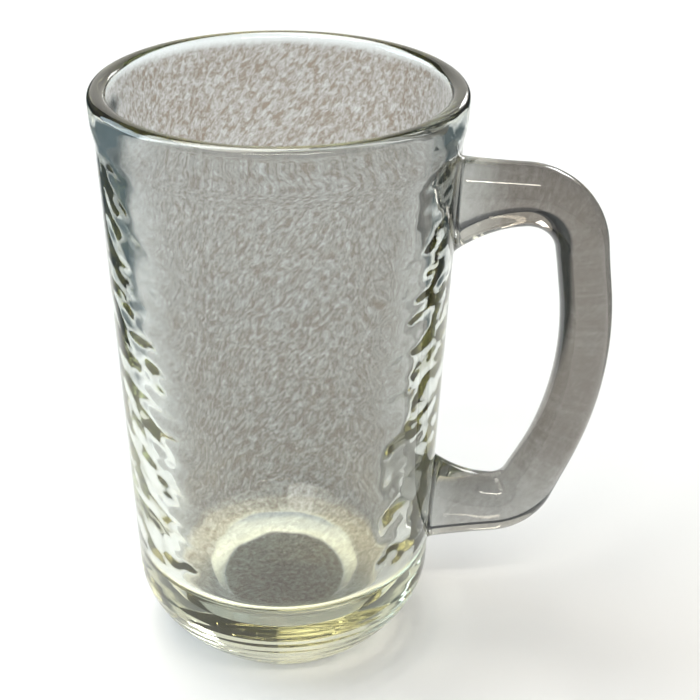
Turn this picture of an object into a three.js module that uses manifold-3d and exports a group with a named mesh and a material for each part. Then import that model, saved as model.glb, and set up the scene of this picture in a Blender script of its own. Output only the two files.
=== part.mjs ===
// Clear glass beer mug: a tapered vessel with a thick base and a rolled lip, and a D-shaped handle
// fused to its side at two flared welds.
// Millimetres, +Z up. The origin is the middle of the foot on the table, and the handle points to +X.
import * as THREE from "three";
import { mergeVertices } from "three/addons/utils/BufferGeometryUtils.js";
import Module from "manifold-3d";

// Vessel, outside. Drafts are angles from upright, in degrees.
const mugHeight = 140;
const rimRadius = 41.5; // outside of the rolled lip
const lipThickness = 4;
const lipHeight = 11; // from the roll's root on the wall to the top of the mug
const lipSwell = 5; // height in which the roll swells out to its full radius
const lipProud = 1.1; // how far the roll stands out from the wall's top
const lipRound = 1.8; // on both top edges of the lip
const lipRootRound = 22; // where the wall swells out into the roll
const wallDraft = 2.5;
const footRadius = 22.6; // flat underside that the mug stands on
const footRound = 1.5;
const heelDraft = 50; // of the rounded heel where it leaves the foot
const heelHeight = 20; // where the heel runs into the straight wall

// Vessel, inside. The bore tapers more than the outside, so the wall thickens towards the base.
const floorThickness = 13;
const boreDraft = 5.3;
const floorRound = 11; // corner between the floor and the bore

// Handle centre line, in the plane y = 0. Reaches are measured from the mug's axis.
const upperArmHeight = 114;
const lowerArmHeight = 32.1;
const upperReach = 67.3; // to the corner of the upper arm and the grip
const kneeReach = 73.9; // to the corner where the grip turns back towards the vessel
const kneeHeight = 66.4;
const lowerReach = 57.4; // to the corner of the grip and the lower arm
const upperBend = 14.4;
const kneeBend = 80;
const lowerBend = 10;

// Handle section: an oval, thicker on the two arms than on the grip.
const gripThickness = 12.2;
const gripWidth = 14;
const armThickness = 16;
const armWidth = 14;
const armTaperLength = 42; // from the wall to where the grip's own section begins

// Welds: the arms flare out as they meet the wall, most of all on the inside of the loop.
const weldFlareLength = 15;
const weldFlareInside = 6;
const weldFlareOutside = 1;
const weldFlareSide = 0.8;
const weldGap = 0.3; // between the handle's ends and the wall
const weldBury = 6; // length of arm inside the wall's surface before it is cut to the wall

// Facets.
const roundSegments = 72; // around the vessel
const sectionSegments = 24; // around the handle
const heelSteps = 8; // up the heel
const armSteps = 12; // along each arm
const sag = 0.05; // greatest distance from an arc to its chords

const radians = THREE.MathUtils.degToRad;

// Radius of the straight outer wall, and of the bore, at a height. Both are cones.
const wallTop = mugHeight - lipHeight;
const wallRadiusAt = (z) => rimRadius - lipProud - (wallTop - z) * Math.tan(radians(wallDraft));
const boreRadiusAt = (z) => rimRadius - lipThickness - (mugHeight - z) * Math.tan(radians(boreDraft));

// A path through corner points. A corner with a radius is rounded by an arc that meets both its sides.
function roundedPath(corners) {
  const path = new THREE.CurvePath();
  let from = corners[0].at;
  for (let i = 1; i < corners.length - 1; i++) {
    const { at, round } = corners[i];
    if (!round) {
      path.add(new THREE.LineCurve(from, at));
      from = at;
      continue;
    }
    const back = corners[i - 1].at.clone().sub(at).normalize();
    const onward = corners[i + 1].at.clone().sub(at).normalize();
    const halfAngle = Math.acos(back.dot(onward)) / 2;
    const inset = round / Math.tan(halfAngle);
    const start = at.clone().addScaledVector(back, inset);
    const end = at.clone().addScaledVector(onward, inset);
    const toCentre = back.clone().add(onward).setLength(round / Math.sin(halfAngle));
    const centre = at.clone().add(toCentre);
    const clockwise = back.cross(onward) > 0;
    const startAngle = start.clone().sub(centre).angle();
    const endAngle = end.clone().sub(centre).angle();
    path.add(new THREE.LineCurve(from, start));
    path.add(new THREE.EllipseCurve(centre.x, centre.y, round, round, startAngle, endAngle, clockwise));
    from = end;
  }
  path.add(new THREE.LineCurve(from, corners.at(-1).at));
  return path;
}

// Number of chords that keeps an arc, or an offset of it, within the sag.
function chords(arc, offset = 0) {
  const turn = arc.getLength() / arc.xRadius;
  const chordTurn = 2 * Math.acos(1 - sag / (arc.xRadius + offset));
  return Math.max(2, Math.ceil(turn / chordTurn));
}

const corner = (x, y, round) => ({ at: new THREE.Vector2(x, y), round });

// Heel: a curve that leaves the foot at its own draft and runs into the wall. The wall's line and the
// heel's first line cross at the point that pulls it.
function heelCurve() {
  const slopeChange = Math.tan(radians(heelDraft)) - Math.tan(radians(wallDraft));
  const pullHeight = (wallRadiusAt(0) - footRadius) / slopeChange;
  return new THREE.QuadraticBezierCurve(
    new THREE.Vector2(footRadius, 0),
    new THREE.Vector2(wallRadiusAt(pullHeight), pullHeight),
    new THREE.Vector2(wallRadiusAt(heelHeight), heelHeight),
  );
}

// Outside of the vessel, from the foot to the lip, as radius and height. A gap stands it off all round.
function outsideCorners(gap) {
  const heel = heelCurve().getPoints(heelSteps).slice(1);
  return [
    corner(footRadius + gap, 0, footRound),
    ...heel.map((point) => corner(point.x + gap, point.y)),
    corner(wallRadiusAt(wallTop) + gap, wallTop, lipRootRound),
    corner(rimRadius + gap, wallTop + lipSwell, lipRootRound),
    corner(rimRadius + gap, mugHeight, lipRound),
  ];
}

// A closed outline of radius and height, turned about the vessel's axis.
function turned(corners) {
  const outline = roundedPath(corners);
  const points = [corners[0].at];
  for (const curve of outline.curves) {
    const steps = curve.isEllipseCurve ? chords(curve) : 1;
    points.push(...curve.getPoints(steps).slice(1));
  }
  return new THREE.LatheGeometry(points, roundSegments).rotateX(Math.PI / 2);
}

// Vessel: up the outside, over the lip, and down the bore to the floor.
const vesselGeometry = turned([
  corner(0, 0),
  ...outsideCorners(0),
  corner(rimRadius - lipThickness, mugHeight, lipRound),
  corner(boreRadiusAt(floorThickness), floorThickness, floorRound),
  corner(0, floorThickness),
]);

// The vessel's outside with no bore, larger by the weld gap, which the handle's ends are cut to.
const weldCutterGeometry = turned([
  corner(0, 0),
  ...outsideCorners(weldGap),
  corner(0, mugHeight),
]);

// Handle centre line: out along the upper arm, down the grip, and back along the lower arm.
const handlePath = roundedPath([
  corner(wallRadiusAt(upperArmHeight) - weldBury, upperArmHeight),
  corner(upperReach, upperArmHeight, upperBend),
  corner(kneeReach, kneeHeight, kneeBend),
  corner(lowerReach, lowerArmHeight, lowerBend),
  corner(wallRadiusAt(lowerArmHeight) - weldBury, lowerArmHeight),
]);

// Half sizes of the handle's section at a distance from the wall along the centre line.
function sectionAt(fromWall) {
  const grip = THREE.MathUtils.smoothstep(fromWall, 0, armTaperLength);
  const flare = THREE.MathUtils.clamp(1 - fromWall / weldFlareLength, 0, 1) ** 2;
  const thickness = THREE.MathUtils.lerp(armThickness, gripThickness, grip);
  const width = THREE.MathUtils.lerp(armWidth, gripWidth, grip);
  return {
    inside: thickness / 2 + weldFlareInside * flare,
    outside: thickness / 2 + weldFlareOutside * flare,
    side: width / 2 + weldFlareSide * flare,
  };
}

// Distances along the centre line where a section is set.
function handleStations() {
  const distances = [0];
  let before = 0;
  handlePath.curves.forEach((curve, i) => {
    const isArm = i === 0 || i === handlePath.curves.length - 1;
    const bendSteps = curve.isEllipseCurve ? chords(curve, gripThickness / 2) : 1;
    const steps = isArm ? armSteps : bendSteps;
    const length = curve.getLength();
    for (let k = 1; k <= steps; k++) distances.push(before + (length * k) / steps);
    before += length;
  });
  return distances;
}

// Handle before its ends are cut: oval sections joined into a skin, closed by a fan at each end.
function handleGeometry() {
  const total = handlePath.getLength();
  const positions = [];
  const indices = [];
  const stations = handleStations();
  for (const distance of stations) {
    const along = distance / total;
    const centre = handlePath.getPoint(along);
    const tangent = handlePath.getTangent(along);
    const outward = new THREE.Vector2(-tangent.y, tangent.x);
    const section = sectionAt(Math.min(distance, total - distance) - weldBury);
    for (let k = 0; k < sectionSegments; k++) {
      const angle = (2 * Math.PI * k) / sectionSegments;
      const rise = Math.sin(angle) * (Math.sin(angle) > 0 ? section.outside : section.inside);
      const point = centre.clone().addScaledVector(outward, rise);
      positions.push(point.x, Math.cos(angle) * section.side, point.y);
    }
  }
  const ring = (station, k) => station * sectionSegments + (k % sectionSegments);
  const last = stations.length - 1;
  for (let s = 0; s < last; s++) {
    for (let k = 0; k < sectionSegments; k++) {
      indices.push(ring(s, k), ring(s, k + 1), ring(s + 1, k));
      indices.push(ring(s, k + 1), ring(s + 1, k + 1), ring(s + 1, k));
    }
  }
  for (let k = 1; k < sectionSegments - 1; k++) {
    indices.push(ring(0, 0), ring(0, k + 1), ring(0, k));
    indices.push(ring(last, 0), ring(last, k), ring(last, k + 1));
  }
  const geometry = new THREE.BufferGeometry();
  geometry.setAttribute("position", new THREE.Float32BufferAttribute(positions, 3));
  geometry.setIndex(indices);
  return geometry;
}

const wasm = await Module();
wasm.setup();

// A closed geometry as a solid, from its positions alone.
function toSolid(geometry) {
  const bare = new THREE.BufferGeometry();
  bare.setAttribute("position", geometry.getAttribute("position"));
  bare.setIndex(geometry.index);
  const merged = mergeVertices(bare);
  const vertProperties = merged.getAttribute("position").array;
  const triVerts = new Uint32Array(merged.index.array);
  return new wasm.Manifold(new wasm.Mesh({ numProp: 3, vertProperties, triVerts }));
}

function toGeometry(solid) {
  const mesh = solid.getMesh();
  const geometry = new THREE.BufferGeometry();
  geometry.setAttribute("position", new THREE.BufferAttribute(mesh.vertProperties, mesh.numProp));
  geometry.setIndex(new THREE.BufferAttribute(mesh.triVerts, 1));
  geometry.computeVertexNormals();
  return geometry;
}

function piece(name, geometry, color) {
  const material = new THREE.MeshStandardMaterial({ color, roughness: 0.04, metalness: 0 });
  const mesh = new THREE.Mesh(geometry, material);
  mesh.name = name;
  return mesh;
}

const handleSolid = toSolid(handleGeometry()).subtract(toSolid(weldCutterGeometry));

const mug = new THREE.Group();
mug.name = "beer_mug";
mug.add(piece("vessel", vesselGeometry, 0xd3d6cb));
mug.add(piece("handle", toGeometry(handleSolid), 0xcfd2c8));

export default mug;
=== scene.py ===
# Looks of the clear glass beer mug: finely turned glass, soft studio light and the photograph's view.
# In the solids' frame: the origin is the middle of the foot, +Z is up and the handle points to +X.
# The mug's own sizes are in millimetres. The floor, the lamps and the camera are in metres.
import math

import bpy
import numpy as np
from mathutils import Matrix, Vector, noise


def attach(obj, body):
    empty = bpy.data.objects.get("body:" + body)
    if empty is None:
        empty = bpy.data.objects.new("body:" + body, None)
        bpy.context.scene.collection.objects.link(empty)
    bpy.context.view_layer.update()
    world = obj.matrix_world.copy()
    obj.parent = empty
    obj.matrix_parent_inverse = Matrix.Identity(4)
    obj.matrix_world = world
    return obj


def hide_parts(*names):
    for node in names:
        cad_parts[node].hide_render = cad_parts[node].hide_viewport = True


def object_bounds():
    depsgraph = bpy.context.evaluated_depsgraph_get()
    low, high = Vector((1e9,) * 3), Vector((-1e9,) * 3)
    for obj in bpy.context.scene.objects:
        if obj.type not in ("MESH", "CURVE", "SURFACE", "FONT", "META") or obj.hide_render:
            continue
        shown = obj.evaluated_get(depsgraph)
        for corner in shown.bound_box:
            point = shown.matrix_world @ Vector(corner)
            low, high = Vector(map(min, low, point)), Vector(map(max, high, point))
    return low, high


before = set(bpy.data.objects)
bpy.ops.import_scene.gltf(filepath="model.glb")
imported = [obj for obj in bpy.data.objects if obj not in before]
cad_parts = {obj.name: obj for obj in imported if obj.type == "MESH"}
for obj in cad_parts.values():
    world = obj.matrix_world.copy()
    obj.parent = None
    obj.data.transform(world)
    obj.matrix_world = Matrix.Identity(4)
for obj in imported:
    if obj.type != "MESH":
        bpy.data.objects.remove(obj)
cad_low, cad_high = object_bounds()

MM = 0.001
WHITE = (1, 1, 1)

# Vessel, outside. Drafts are angles from upright, in degrees.
MUG_HEIGHT = cad_high.z / MM
RIM_RADIUS = -cad_low.x / MM
LIP_THICKNESS = 4.0
LIP_HEIGHT = 11.0        # from the roll's root on the wall to the top of the mug
LIP_SWELL = 5.0          # height in which the roll swells out to its full radius
LIP_PROUD = 1.1          # how far the roll stands out from the wall's top
LIP_ROUND = 1.8          # on both top edges of the lip
LIP_ROOT_ROUND = 22.0    # where the wall swells out into the roll
WALL_DRAFT = 2.5
FOOT_RADIUS = 22.6
FOOT_ROUND = 1.5
HEEL_DRAFT = 50.0        # where the heel leaves the foot
HEEL_HEIGHT = 20.0       # where the heel runs into the straight wall
HEEL_RIPPLE = 0.07       # height and length of the fine rings that the mould leaves round the heel
HEEL_RIPPLE_LENGTH = 2.7

# Vessel, inside.
FLOOR_THICKNESS = 13.0
BORE_DRAFT = 5.3

# Step round the floor, which the photograph shows as rings. The solids have a plain round corner there.
STEP_INSIDE = 15.4       # radii of the step's foot and top
STEP_OUTSIDE = 18.8
STEP_TOP = 17.5
STEP_ROUND = 1.2
SHOULDER_TOP = 22.0      # height where the shoulder above the step meets the wall
SHOULDER_ROUND = 5.0

# Waves that the mould and the fire polish leave in the bore. Each is a height, a length up the wall
# and a breadth round it.
BORE_WAVES = (
    (0.30, 9.0, 13.0),
    (0.23, 4.4, 6.4),
    (0.12, 2.4, 3.4),
)
WAVE_PHASE = 31.7        # sets the waves apart from each other
WAVES_TOP = 134.0        # height down to which the waves are slight
WAVES_SLIGHT = 0.3       # their share of the full height there
WAVES_FULL = 85.0        # height from which they are full
WAVES_END = 21.0         # height above which they begin
WAVES_FADE = 7.0         # height in which they grow from there
WAVES_RIGHT = 1.3        # their share on the handle's side
WAVES_FACING = 0.12      # their share on the front and back, which are smoother than the sides
FACING_TO, SIDE_FROM = 0.45, 0.85   # sines of the angles from the front where that share changes

# Handle. Reaches are measured from the mug's axis.
HANDLE_END = cad_high.x / MM
UPPER_ARM_HEIGHT = 114.0
LOWER_ARM_HEIGHT = 32.1
UPPER_REACH = 67.3       # to the corner of the upper arm and the grip
KNEE_REACH = 73.9        # to the corner where the grip turns back towards the vessel
KNEE_HEIGHT = 66.4
LOWER_REACH = 57.4       # to the corner of the grip and the lower arm
UPPER_BEND = 14.4
KNEE_BEND = 80.0
LOWER_BEND = 10.0
GRIP_THICKNESS = 12.2
GRIP_WIDTH = 14.0
ARM_THICKNESS = 16.0
ARM_WIDTH = 14.0
ARM_TAPER_LENGTH = 42.0  # from the wall to where the grip's own section begins
WELD_FLARE_LENGTH = 15.0
WELD_FLARE_INSIDE = 6.0
WELD_FLARE_OUTSIDE = 1.0
WELD_FLARE_SIDE = 0.8
WELD_BEAD_LENGTH = 1.6   # last bit of the arm, which turns up against the wall
WELD_BEAD_RISE = 0.9
WELD_OVERLAP = 0.3       # how far the fused ends reach into the wall's glass

# How much of the grey cast shows on each face of the glass, from 0 to 1. The cast is painted shade: it
# darkens what is seen through the clear glass.
BACK_CAST = 0.86
FRONT_CAST = 0.46
FRONT_TO_BACK = 0.6      # sine of the angle either side of the middle in which they change over
# Painted shade: the glass is greyer just above the base.
BASE_CAST = 0.06         # added to both just above the base
BASE_CAST_TO = 90.0      # height up to which some of that is added
# Painted shade on the floor's disc and on the shoulder above the step. The step itself stays clear.
FLOOR_CAST = 0.86
STEP_CAST = 0.02
SHOULDER_CAST = 0.80
SHOULDER_END = 24.5      # radius where the shoulder's cast turns into the wall's
CORNER_TOP = 24.0        # height above which the wall's cast is the only one
CAST_FADE = 0.6          # either side of each change round the floor
LIP_CLEAR = 0.5          # depth below the rim where the cast begins
LIP_FADE = 3.0           # depth where it is full
# Painted shade on the handle, lighter near the weld and on the lower arm.
HANDLE_CAST = 0.98
WELD_CAST = 0.62
WELD_CAST_LENGTH = 14.0  # from the wall to where that has turned into the handle's
LOWER_ARM_CAST = 0.76
LOWER_ARM_FROM, LOWER_ARM_TO = 36.0, 50.0   # heights where that turns into the handle's

# Mesh steps.
ROUND_SEGMENTS = 160
SECTION_SEGMENTS = 48
OUTLINE_STEP = 1.0       # millimetres along an outline
ARC_STEPS = 6            # fewest along an arc
HEEL_STEPS = 64
ARM_STEPS = 22
ARM_CROWDING = 1.7       # sets more of an arm's steps near the weld
CAP_RINGS = 6
SHARP_ANGLE = 50.0       # degrees

# Glass.
GLASS_IOR = 1.52
CLEAR_TINT = (0.90, 0.95, 0.975)
# Darkest colours of the grey cast, the painted shade on the vessel and on the handle.
VESSEL_CAST_TINT = (0.128, 0.084, 0.055)
HANDLE_CAST_TINT = (0.215, 0.195, 0.183)
DEPTH_COLOUR = (0.54, 0.51, 0.22)
DEPTH_DENSITY = 13.0     # per metre
NOISE_DETAIL = 5.0

# Fine mottling in the grey cast, which is painted shade.
GRAIN_SCALE = 1000.0
GRAIN_ROUGHNESS = 0.7
GRAIN_DISTORTION = 0.5
GRAIN_SPAN = (0.3, 0.7)  # of the noise, from the palest to the darkest
STROKE_SLANT = 50.0      # degrees that its strokes rise towards the handle's side
STROKE_LENGTH = 2.2      # of a stroke, over its breadth
VESSEL_GRAIN = 0.36      # share of the cast that comes and goes
HANDLE_GRAIN = 0.12

# Smears that take some of the polish away.
SMEAR_SCALE = 45.0
SMEAR_SPAN = (0.45, 0.8)
SMEAR_ROUGHNESS = 0.03

# Floor: pale wherever the camera looks. All other rays, such as the glass's, meet a pale sheet that
# widens to the back as the view does, and a dark table at both sides of it behind the mug. The table
# is painted shade, which gives the glass its dark edges.
FLOOR_SIZE = 6.0
FLOOR_SEGMENTS = 96
FLOOR_DROP = 0.0002      # below the foot
FLOOR_COLOUR = (0.80, 0.80, 0.80)
FLOOR_ROUGHNESS = 0.8
FLOOR_GLOW = 0.10        # what the pale floor adds where the camera, a reflection or the glass sees it
FAR_GLOW = 0.85          # what it adds for the camera far from the lamps
FAR_SPAN = (0.5, 1.6)    # distances from the mug in which that grows
SHEET_MIDDLE = 0.012     # x of the sheet's middle beside the mug
SHEET_TURN = 0.041       # how far that moves to +X for each metre to the back
SHEET_HALF = 0.107       # half its breadth beside the mug
SHEET_WIDENING = 0.18    # what that gains for each metre to the back
SHEET_FADE = 0.04        # breadth of its soft edge
# The dark table is painted shade that only rays other than the camera's meet.
PAINTED_SHADE_FROM = 0.04        # distance behind the mug's axis where the dark table begins
PAINTED_SHADE_COLOUR = (0.10, 0.125, 0.135)

# A painted ring of light on the floor round the foot, where the thick base would gather light. Only the
# glass shows it.
PAINTED_RING_COLOUR = (1.0, 0.88, 0.54)
PAINTED_RING_GLOW = 1.1
PAINTED_RING_RADIUS = 0.033
PAINTED_RING_HALF = 0.011        # half its breadth

# Lamps: shape, place, size, power in watts and colour. All face the mug.
SOFTBOXES = {
    "overhead": ("ELLIPSE", (-0.22, 0.08, 0.90), (1.30, 0.45), 6.8, (1.0, 0.965, 0.88)),
    "panel": ("ELLIPSE", (0.10, 0.95, 0.46), (1.60, 0.72), 2.8, (1.0, 0.97, 0.87)),
    "window": ("RECTANGLE", (-0.90, 0.20, 0.46), (0.80, 0.60), 6.5, (0.70, 0.87, 1.0)),
    "tube": ("RECTANGLE", (0.05, -0.62, 0.80), (0.70, 0.05), 2.8, (1.0, 0.95, 0.84)),
    "kicker": ("RECTANGLE", (0.50, 0.80, 0.40), (0.22, 0.22), 1.2, (1.0, 1.0, 1.0)),
}
LAMPS_FACE = (0, 0, 0.06)
WORLD_COLOUR = (0.16, 0.17, 0.185)
LIGHT_BOUNCES = 64       # light runs round inside the wall and the base many times
GLOSSY_BLUR = 0.1

# Camera, from fitting the mug's outline in the photograph. Angles are in degrees.
CAMERA_DISTANCE = 0.380  # from the mug's middle
CAMERA_ELEVATION = 28.275
CAMERA_PAN = 2.739
CAMERA_TILT = 0.657
CAMERA_ROLL = 0.708
FOCAL_PIXELS = 1605
IMAGE_PIXELS = 700
SENSOR_WIDTH = 36.0      # millimetres


def smoothstep(value, low, high):
    t = min(max((value - low) / (high - low), 0), 1)
    return t * t * (3 - 2 * t)


def wall_radius(z):
    """Radius of the straight outer wall at a height."""
    wall_top = MUG_HEIGHT - LIP_HEIGHT
    return RIM_RADIUS - LIP_PROUD - (wall_top - z) * math.tan(math.radians(WALL_DRAFT))


def bore_radius(z):
    """Radius of the bore's cone at a height."""
    return RIM_RADIUS - LIP_THICKNESS - (MUG_HEIGHT - z) * math.tan(math.radians(BORE_DRAFT))


def rounded_path(corners, step=OUTLINE_STEP):
    """Points along straight sides and arcs. A corner is (x, y) or (x, y, radius)."""
    points = [np.array(corners[0][:2], float)]

    def line_to(end):
        start = points[-1]
        count = max(1, math.ceil(np.linalg.norm(end - start) / step))
        points.extend(start + (end - start) * k / count for k in range(1, count + 1))

    for before, here, after in zip(corners, corners[1:], corners[2:]):
        at = np.array(here[:2], float)
        if len(here) == 2:
            line_to(at)
            continue
        back = np.array(before[:2]) - at
        back /= np.linalg.norm(back)
        onward = np.array(after[:2]) - at
        onward /= np.linalg.norm(onward)
        half_angle = math.acos(back @ onward) / 2
        inset = here[2] / math.tan(half_angle)
        middle = back + onward
        centre = at + middle / np.linalg.norm(middle) * here[2] / math.sin(half_angle)
        line_to(at + back * inset)
        first = points[-1] - centre
        turn = math.pi - 2 * half_angle
        if back[0] * onward[1] - back[1] * onward[0] > 0:
            turn = -turn
        count = max(ARC_STEPS, math.ceil(abs(turn) * here[2] / step))
        for k in range(1, count + 1):
            c, s = math.cos(turn * k / count), math.sin(turn * k / count)
            points.append(centre + np.array((c * first[0] - s * first[1], s * first[0] + c * first[1])))
    line_to(np.array(corners[-1][:2], float))
    return np.array(points)


def closed_skin(rings, first_middle, last_middle):
    """Vertices and faces of a row of rings, closed at each end by a fan to a middle point."""
    count, size = len(rings), len(rings[0])
    vertices = [vertex for ring in rings for vertex in ring] + [first_middle, last_middle]

    def at(ring, k):
        return ring * size + k % size

    faces = []
    for k in range(size):
        faces.append((count * size, at(0, k + 1), at(0, k)))
        for ring in range(count - 1):
            faces.append((at(ring, k), at(ring, k + 1), at(ring + 1, k + 1), at(ring + 1, k)))
        faces.append((count * size + 1, at(count - 1, k), at(count - 1, k + 1)))
    return vertices, faces


def mesh_object(name, vertices, faces, casts):
    """A smooth-shaded object from points in millimetres, with how grey the glass looks at each."""
    mesh = bpy.data.meshes.new(name)
    mesh.from_pydata([tuple(v * MM for v in vertex) for vertex in vertices], [], faces)
    mesh.validate()
    mesh.attributes.new("cast", "FLOAT", "POINT").data.foreach_set("value", casts)
    mesh.shade_smooth()
    mesh.set_sharp_from_angle(angle=math.radians(SHARP_ANGLE))
    piece = bpy.data.objects.new(name, mesh)
    bpy.context.scene.collection.objects.link(piece)
    return piece


def heel_points():
    """The heel's rippled curve, from the foot into the wall."""
    wall_slope = math.tan(math.radians(WALL_DRAFT))
    pull_height = (wall_radius(0) - FOOT_RADIUS) / (math.tan(math.radians(HEEL_DRAFT)) - wall_slope)
    foot = np.array((FOOT_RADIUS, 0.0))
    pull = np.array((wall_radius(pull_height), pull_height))
    wall = np.array((wall_radius(HEEL_HEIGHT), HEEL_HEIGHT))
    steps = np.linspace(0, 1, HEEL_STEPS + 1)[1:, None]
    curve = (1 - steps) ** 2 * foot + 2 * steps * (1 - steps) * pull + steps ** 2 * wall
    fade = np.sin(math.pi * steps[:, 0])
    curve[:, 0] += HEEL_RIPPLE * fade * np.sin(2 * math.pi * curve[:, 1] / HEEL_RIPPLE_LENGTH)
    return [tuple(point) for point in curve]


def bore_wave(x, y, z):
    """How far the bore stands out from its cone at a point on it."""
    depth = WAVES_SLIGHT + (1 - WAVES_SLIGHT) * smoothstep(WAVES_TOP - z, 0, WAVES_TOP - WAVES_FULL)
    depth *= smoothstep(z, WAVES_END, WAVES_END + WAVES_FADE)
    if x > 0:
        depth *= WAVES_RIGHT
    sideways = abs(x) / math.hypot(x, y)
    depth *= WAVES_FACING + (1 - WAVES_FACING) * smoothstep(sideways, FACING_TO, SIDE_FROM)
    return depth * sum(
        height * noise.noise((x / breadth, y / breadth, z / length + WAVE_PHASE * height))
        for height, length, breadth in BORE_WAVES
    )


def bore_cast(radius, y, z):
    """How grey the glass looks at a point of the bore or its floor: painted shade, deeper at the back,
    low down, on the floor's disc and on the shoulder.
    """
    back = smoothstep(y / radius, -FRONT_TO_BACK, FRONT_TO_BACK)
    wall_cast = FRONT_CAST + (BACK_CAST - FRONT_CAST) * back
    wall_cast += BASE_CAST * smoothstep(BASE_CAST_TO - z, 0, BASE_CAST_TO)
    if z > CORNER_TOP:
        return wall_cast * smoothstep(MUG_HEIGHT - z, LIP_CLEAR, LIP_FADE)
    cast = FLOOR_CAST
    for change, there in (
        (STEP_INSIDE, STEP_CAST),
        (STEP_OUTSIDE, SHOULDER_CAST),
        (SHOULDER_END, wall_cast),
    ):
        cast += (there - cast) * smoothstep(radius, change - CAST_FADE, change + CAST_FADE)
    return cast


def make_vessel():
    """A turned outline: up the outside, over the lip, and down the wavy bore to the floor."""
    wall_top = MUG_HEIGHT - LIP_HEIGHT
    outline = rounded_path([
        (0, 0),
        (FOOT_RADIUS, 0, FOOT_ROUND),
        *heel_points(),
        (wall_radius(wall_top), wall_top, LIP_ROOT_ROUND),
        (RIM_RADIUS, wall_top + LIP_SWELL, LIP_ROOT_ROUND),
        (RIM_RADIUS, MUG_HEIGHT, LIP_ROUND),
        (RIM_RADIUS - LIP_THICKNESS, MUG_HEIGHT, LIP_ROUND),
        (bore_radius(SHOULDER_TOP), SHOULDER_TOP, SHOULDER_ROUND),
        (STEP_OUTSIDE, STEP_TOP, STEP_ROUND),
        (STEP_INSIDE, FLOOR_THICKNESS, STEP_ROUND),
        (0, FLOOR_THICKNESS),
    ])
    # The cast begins on top of the rim, and the waves begin on the lip's inner round.
    rim = int(np.argmax(outline[:, 1]))
    lip_end = rim + ARC_STEPS // 2
    rings = []
    casts = []
    for index, (radius, z) in enumerate(outline[1:-1], start=1):
        ring = []
        for k in range(ROUND_SEGMENTS):
            angle = 2 * math.pi * k / ROUND_SEGMENTS
            x, y = radius * math.cos(angle), radius * math.sin(angle)
            if index > lip_end:
                swell = 1 + bore_wave(x, y, z) / radius
                x, y = x * swell, y * swell
            ring.append((x, y, z))
            casts.append(bore_cast(radius, y, z) if index > rim else 0.0)
        rings.append(ring)
    vertices, faces = closed_skin(rings, (0, 0, 0), (0, 0, FLOOR_THICKNESS))
    casts += [0.0, FLOOR_CAST]
    return mesh_object("mug_vessel", vertices, faces, casts)


def handle_section(from_wall):
    """Half sizes of the handle's oval (inside, outside, side) at a distance from the wall."""
    grip = smoothstep(from_wall, 0, ARM_TAPER_LENGTH)
    flare = max(0, 1 - from_wall / WELD_FLARE_LENGTH) ** 2
    near = max(0, 1 - from_wall / WELD_BEAD_LENGTH)
    bead = WELD_BEAD_RISE * (1 - math.sqrt(1 - near * near))
    thickness = ARM_THICKNESS + (GRIP_THICKNESS - ARM_THICKNESS) * grip
    width = ARM_WIDTH + (GRIP_WIDTH - ARM_WIDTH) * grip
    return (
        thickness / 2 + WELD_FLARE_INSIDE * flare + bead,
        thickness / 2 + WELD_FLARE_OUTSIDE * flare + bead,
        width / 2 + WELD_FLARE_SIDE * flare + bead,
    )


def oval(from_wall, scale=1.0):
    """(across, outward) offsets round the handle's section."""
    inside, outside, side = handle_section(from_wall)
    ring = []
    for k in range(SECTION_SEGMENTS):
        angle = 2 * math.pi * k / SECTION_SEGMENTS
        rise = math.sin(angle) * (outside if math.sin(angle) > 0 else inside)
        ring.append((scale * math.cos(angle) * side, scale * rise))
    return ring


def on_wall(y, z):
    """The x of the point on the handle's side of the vessel's wall, just inside its glass."""
    radius = wall_radius(z) - WELD_OVERLAP
    return math.sqrt(radius * radius - y * y)


def arm_rings(height, arm_end, up):
    """Rings from the weld to the first bend of a straight arm. up is 1 where outward is +Z, else -1."""
    rings = []
    for ring in range(CAP_RINGS - 1, 0, -1):
        cap = [(y, height + up * rise) for y, rise in oval(0, 1 - ring / CAP_RINGS)]
        rings.append([(on_wall(y, z), y, z) for y, z in cap])
    weld = [on_wall(y, height + up * rise) for y, rise in oval(0)]
    reach = arm_end - wall_radius(height)
    for step in range(ARM_STEPS + 1):
        along = (step / ARM_STEPS) ** ARM_CROWDING
        ring = []
        for start, (y, rise) in zip(weld, oval(along * reach)):
            ring.append((start + (arm_end - start) * along, y, height + up * rise))
        rings.append(ring)
    return rings


def handle_cast(x, y, z):
    """How grey the glass looks at a point of the handle, as painted shade."""
    from_wall = math.hypot(x, y) - wall_radius(z)
    away = WELD_CAST + (HANDLE_CAST - WELD_CAST) * smoothstep(from_wall, 0, WELD_CAST_LENGTH)
    above = smoothstep(z, LOWER_ARM_FROM, LOWER_ARM_TO)
    return min(away, LOWER_ARM_CAST + (HANDLE_CAST - LOWER_ARM_CAST) * above)


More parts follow.
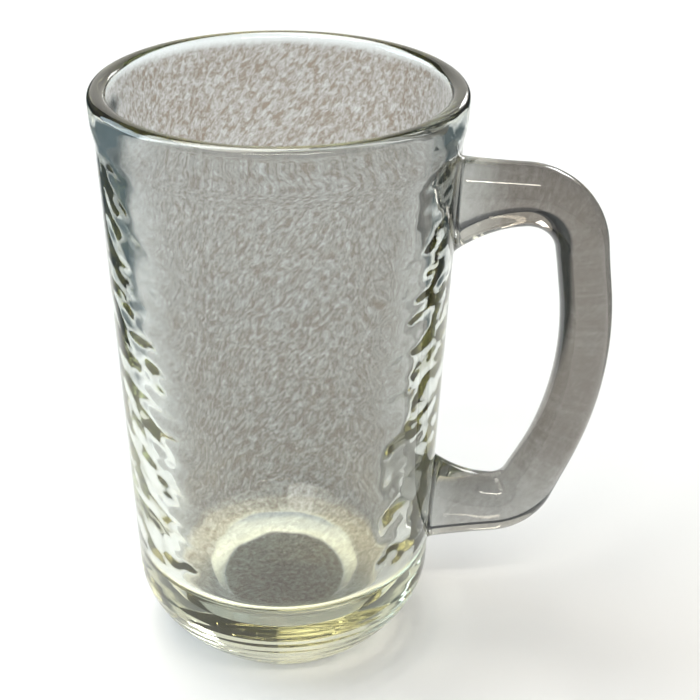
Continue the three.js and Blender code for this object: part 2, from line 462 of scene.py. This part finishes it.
def make_handle():
    """Ovals out along the upper arm, down the bent grip and back along the lower arm."""
    path = rounded_path([
        (wall_radius(UPPER_ARM_HEIGHT), UPPER_ARM_HEIGHT),
        (UPPER_REACH, UPPER_ARM_HEIGHT, UPPER_BEND),
        (KNEE_REACH, KNEE_HEIGHT, KNEE_BEND),
        (LOWER_REACH, LOWER_ARM_HEIGHT, LOWER_BEND),
        (wall_radius(LOWER_ARM_HEIGHT), LOWER_ARM_HEIGHT),
    ])
    lengths = np.concatenate(([0], np.cumsum(np.linalg.norm(np.diff(path, axis=0), axis=1))))
    # The bent stretch lies between the ends of the two straight arms.
    bent = [i for i, (x, z) in enumerate(path)
            if not math.isclose(z, UPPER_ARM_HEIGHT) and not math.isclose(z, LOWER_ARM_HEIGHT)]
    first, last = bent[0] - 1, bent[-1] + 1
    tangents = np.gradient(path, axis=0)
    rings = arm_rings(UPPER_ARM_HEIGHT, path[first][0], 1)
    for i in range(first + 1, last):
        tangent = tangents[i] / np.linalg.norm(tangents[i])
        outward = np.array((-tangent[1], tangent[0]))
        from_wall = min(lengths[i], lengths[-1] - lengths[i])
        ring = []
        for y, rise in oval(from_wall):
            x, z = path[i] + outward * rise
            ring.append((min(x, HANDLE_END), y, z))
        rings.append(ring)
    rings += reversed(arm_rings(LOWER_ARM_HEIGHT, path[last][0], -1))
    upper_end, lower_end = (
        (on_wall(0, height), 0, height) for height in (UPPER_ARM_HEIGHT, LOWER_ARM_HEIGHT)
    )
    vertices, faces = closed_skin(rings, upper_end, lower_end)
    casts = [handle_cast(*vertex) for vertex in vertices]
    return mesh_object("mug_handle", vertices, faces, casts)


def node(tree, kind, inputs, operation=None):
    """A new node. Each input is a plain value, or an output to link from."""
    made = tree.nodes.new(kind)
    if operation:
        made.operation = operation
    for socket, value in inputs.items():
        if isinstance(value, bpy.types.NodeSocket):
            tree.links.new(value, made.inputs[socket])
        else:
            made.inputs[socket].default_value = value
    return made


def maths(tree, operation, *values):
    """The result of a math operation on values or outputs."""
    return node(tree, "ShaderNodeMath", dict(enumerate(values)), operation).outputs["Value"]


def ramp(tree, value, span, results, kind="LINEAR"):
    """Goes from the first result to the last while the value goes through the span."""
    made = node(tree, "ShaderNodeMapRange", {
        "Value": value,
        "From Min": span[0],
        "From Max": span[1],
        "To Min": results[0],
        "To Max": results[1],
    })
    made.interpolation_type = kind
    return made.outputs["Result"]


def mixed(tree, share, first, second):
    """A colour between two, by the share of the second."""
    return node(tree, "ShaderNodeMixRGB", {
        "Fac": share, "Color1": (*first, 1), "Color2": (*second, 1),
    }).outputs["Color"]


def scaled(tree, colour, strength):
    """A colour times a strength."""
    return node(tree, "ShaderNodeVectorMath", {0: colour, "Scale": strength}, "SCALE").outputs["Vector"]


def new_material(name):
    """A material with its node tree and its shader."""
    material = bpy.data.materials.new(name)
    material.use_nodes = True
    tree = material.node_tree
    return material, tree, tree.nodes["Principled BSDF"]


def glass_material(name, cast_tint, grain):
    """Clear glass with an olive cast in its depth. Its faces are greyed by painted shade, finely
    mottled, and smeared.
    """
    material, tree, shader = new_material(name)
    shader.inputs["IOR"].default_value = GLASS_IOR
    shader.inputs["Transmission Weight"].default_value = 1
    depth = node(tree, "ShaderNodeVolumeAbsorption", {
        "Color": (*DEPTH_COLOUR, 1), "Density": DEPTH_DENSITY,
    })
    tree.links.new(depth.outputs["Volume"], tree.nodes["Material Output"].inputs["Volume"])

    place = node(tree, "ShaderNodeTexCoord", {}).outputs["Object"]
    cast = node(tree, "ShaderNodeAttribute", {})
    cast.attribute_name = "cast"
    strokes = node(tree, "ShaderNodeMapping", {
        "Vector": place,
        "Rotation": (0, -math.radians(STROKE_SLANT), 0),
        "Scale": (STROKE_LENGTH, 1, 1),
    })
    strokes.vector_type = "TEXTURE"
    mottling = node(tree, "ShaderNodeTexNoise", {
        "Vector": strokes.outputs["Vector"],
        "Scale": GRAIN_SCALE,
        "Detail": NOISE_DETAIL,
        "Roughness": GRAIN_ROUGHNESS,
        "Distortion": GRAIN_DISTORTION,
    })
    share = ramp(tree, mottling.outputs["Fac"], GRAIN_SPAN, (1 - grain, 1 + grain))
    # Painted shade: the cast attribute, mottled, takes the clear tint towards the dark cast tint.
    painted_shade = maths(tree, "MULTIPLY", cast.outputs["Fac"], share)
    tree.links.new(mixed(tree, painted_shade, CLEAR_TINT, cast_tint), shader.inputs["Base Color"])

    smears = node(tree, "ShaderNodeTexNoise", {
        "Vector": place, "Scale": SMEAR_SCALE, "Detail": NOISE_DETAIL,
    })
    polish = ramp(tree, smears.outputs["Fac"], SMEAR_SPAN, (0.0, SMEAR_ROUGHNESS))
    tree.links.new(polish, shader.inputs["Roughness"])
    return material


def sheet_share(tree, place):
    """1 on the pale sheet and in front of the mug, and 0 on the dark table of painted shade."""
    axes = node(tree, "ShaderNodeSeparateXYZ", {0: place})
    x, y = axes.outputs["X"], axes.outputs["Y"]
    middle = maths(tree, "MULTIPLY_ADD", y, SHEET_TURN, SHEET_MIDDLE)
    aside = maths(tree, "ABSOLUTE", maths(tree, "SUBTRACT", x, middle))
    beside = maths(tree, "MULTIPLY_ADD", y, -SHEET_WIDENING, aside)
    behind = maths(tree, "ADD", y, SHEET_HALF - PAINTED_SHADE_FROM)
    beyond = maths(tree, "MINIMUM", beside, behind)
    return ramp(tree, beyond, (SHEET_HALF, SHEET_HALF + SHEET_FADE), (1.0, 0.0))


def floor_material():
    """A matt floor that also glows a little where it is seen, with painted shade on the dark table and a
    painted ring of light round the foot for the glass.
    """
    material, tree, shader = new_material("pale_floor")
    shader.inputs["Roughness"].default_value = FLOOR_ROUGHNESS
    shader.inputs["Specular IOR Level"].default_value = 0
    shader.inputs["Emission Strength"].default_value = 1
    place = node(tree, "ShaderNodeTexCoord", {}).outputs["Object"]
    from_axis = node(tree, "ShaderNodeVectorMath", {0: place}, "LENGTH").outputs["Value"]
    rays = node(tree, "ShaderNodeLightPath", {})
    camera_sees = rays.outputs["Is Camera Ray"]
    glass_sees = rays.outputs["Is Transmission Ray"]
    mirror_sees = rays.outputs["Is Glossy Ray"]

    # Painted shade: rays other than the camera's find the dark table beside and behind the pale sheet.
    pale = maths(tree, "MAXIMUM", sheet_share(tree, place), camera_sees)
    tree.links.new(mixed(tree, pale, PAINTED_SHADE_COLOUR, FLOOR_COLOUR), shader.inputs["Base Color"])

    seen = maths(tree, "MAXIMUM", maths(tree, "MAXIMUM", camera_sees, mirror_sees), glass_sees)
    far = ramp(tree, from_axis, FAR_SPAN, (0.0, FAR_GLOW))
    far_seen = maths(tree, "MULTIPLY", far, camera_sees)
    glow = maths(tree, "MULTIPLY_ADD", maths(tree, "MULTIPLY", seen, pale), FLOOR_GLOW, far_seen)
    # Painted ring of light round the foot, which only the glass sees.
    off_painted_ring = maths(tree, "ABSOLUTE", maths(tree, "SUBTRACT", from_axis, PAINTED_RING_RADIUS))
    ring = ramp(tree, off_painted_ring, (0.0, PAINTED_RING_HALF), (PAINTED_RING_GLOW, 0.0), "SMOOTHSTEP")
    painted_ring_seen = maths(tree, "MULTIPLY", ring, glass_sees)
    emitted = node(tree, "ShaderNodeVectorMath", {
        0: scaled(tree, WHITE, glow), 1: scaled(tree, PAINTED_RING_COLOUR, painted_ring_seen),
    }, "ADD")
    tree.links.new(emitted.outputs["Vector"], shader.inputs["Emission Color"])
    return material


def softbox(name, shape, place, size, power, colour):
    light = bpy.data.lights.new(name, "AREA")
    light.shape = shape
    light.size, light.size_y = size
    light.energy = power
    light.color = colour
    lamp = bpy.data.objects.new(name, light)
    lamp.location = place
    lamp.rotation_euler = (Vector(LAMPS_FACE) - Vector(place)).to_track_quat("-Z", "Y").to_euler()
    bpy.context.scene.collection.objects.link(lamp)


def make_world():
    """Dim light from all round, and white where the camera looks past the floor."""
    world = bpy.data.worlds.new("studio")
    world.use_nodes = True
    tree = world.node_tree
    camera_sees = node(tree, "ShaderNodeLightPath", {}).outputs["Is Camera Ray"]
    colour = mixed(tree, camera_sees, WORLD_COLOUR, WHITE)
    tree.links.new(colour, tree.nodes["Background"].inputs["Color"])
    bpy.context.scene.world = world


def make_camera():
    """The photograph's view, from above the front, panned, tilted and rolled a little."""
    elevation, pan, tilt, roll = (
        math.radians(angle) for angle in (CAMERA_ELEVATION, CAMERA_PAN, CAMERA_TILT, CAMERA_ROLL)
    )
    data = bpy.data.cameras.new("camera")
    data.sensor_width = SENSOR_WIDTH
    data.lens = FOCAL_PIXELS / IMAGE_PIXELS * SENSOR_WIDTH
    camera = bpy.data.objects.new("camera", data)
    down = elevation - tilt
    ahead = Vector((math.sin(pan) * math.cos(down), math.cos(pan) * math.cos(down), -math.sin(down)))
    right = ahead.cross(Vector((0, 0, 1))).normalized()
    above = right.cross(ahead)
    rolled_right = math.cos(roll) * right + math.sin(roll) * above
    rolled_above = math.cos(roll) * above - math.sin(roll) * right
    turn = Matrix((rolled_right, rolled_above, -ahead)).transposed()
    middle = Vector((0, 0, MUG_HEIGHT * MM / 2))
    back = Vector((0, -math.cos(elevation), math.sin(elevation)))
    camera.matrix_world = Matrix.Translation(middle + back * CAMERA_DISTANCE) @ turn.to_4x4()
    bpy.context.scene.collection.objects.link(camera)
    bpy.context.scene.camera = camera


make_camera()
vessel = make_vessel()
vessel.data.materials.append(glass_material("vessel_glass", VESSEL_CAST_TINT, VESSEL_GRAIN))
handle = make_handle()
handle.data.materials.append(glass_material("handle_glass", HANDLE_CAST_TINT, HANDLE_GRAIN))
for piece, solid in ((vessel, "vessel"), (handle, "handle")):
    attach(piece, "root")
    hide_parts(solid)

bpy.ops.mesh.primitive_circle_add(
    vertices=FLOOR_SEGMENTS, radius=FLOOR_SIZE, fill_type="NGON", location=(0, 0, -FLOOR_DROP),
)
floor = bpy.context.object
floor.name = "floor"
floor.data.materials.append(floor_material())

make_world()
for name, settings in SOFTBOXES.items():
    softbox(name, *settings)

scene = bpy.context.scene
scene.view_settings.view_transform = "Standard"
scene.cycles.max_bounces = LIGHT_BOUNCES
scene.cycles.transmission_bounces = LIGHT_BOUNCES
scene.cycles.glossy_bounces = LIGHT_BOUNCES
scene.cycles.blur_glossy = GLOSSY_BLUR
scene.cycles.sample_clamp_indirect = 0   # no limit
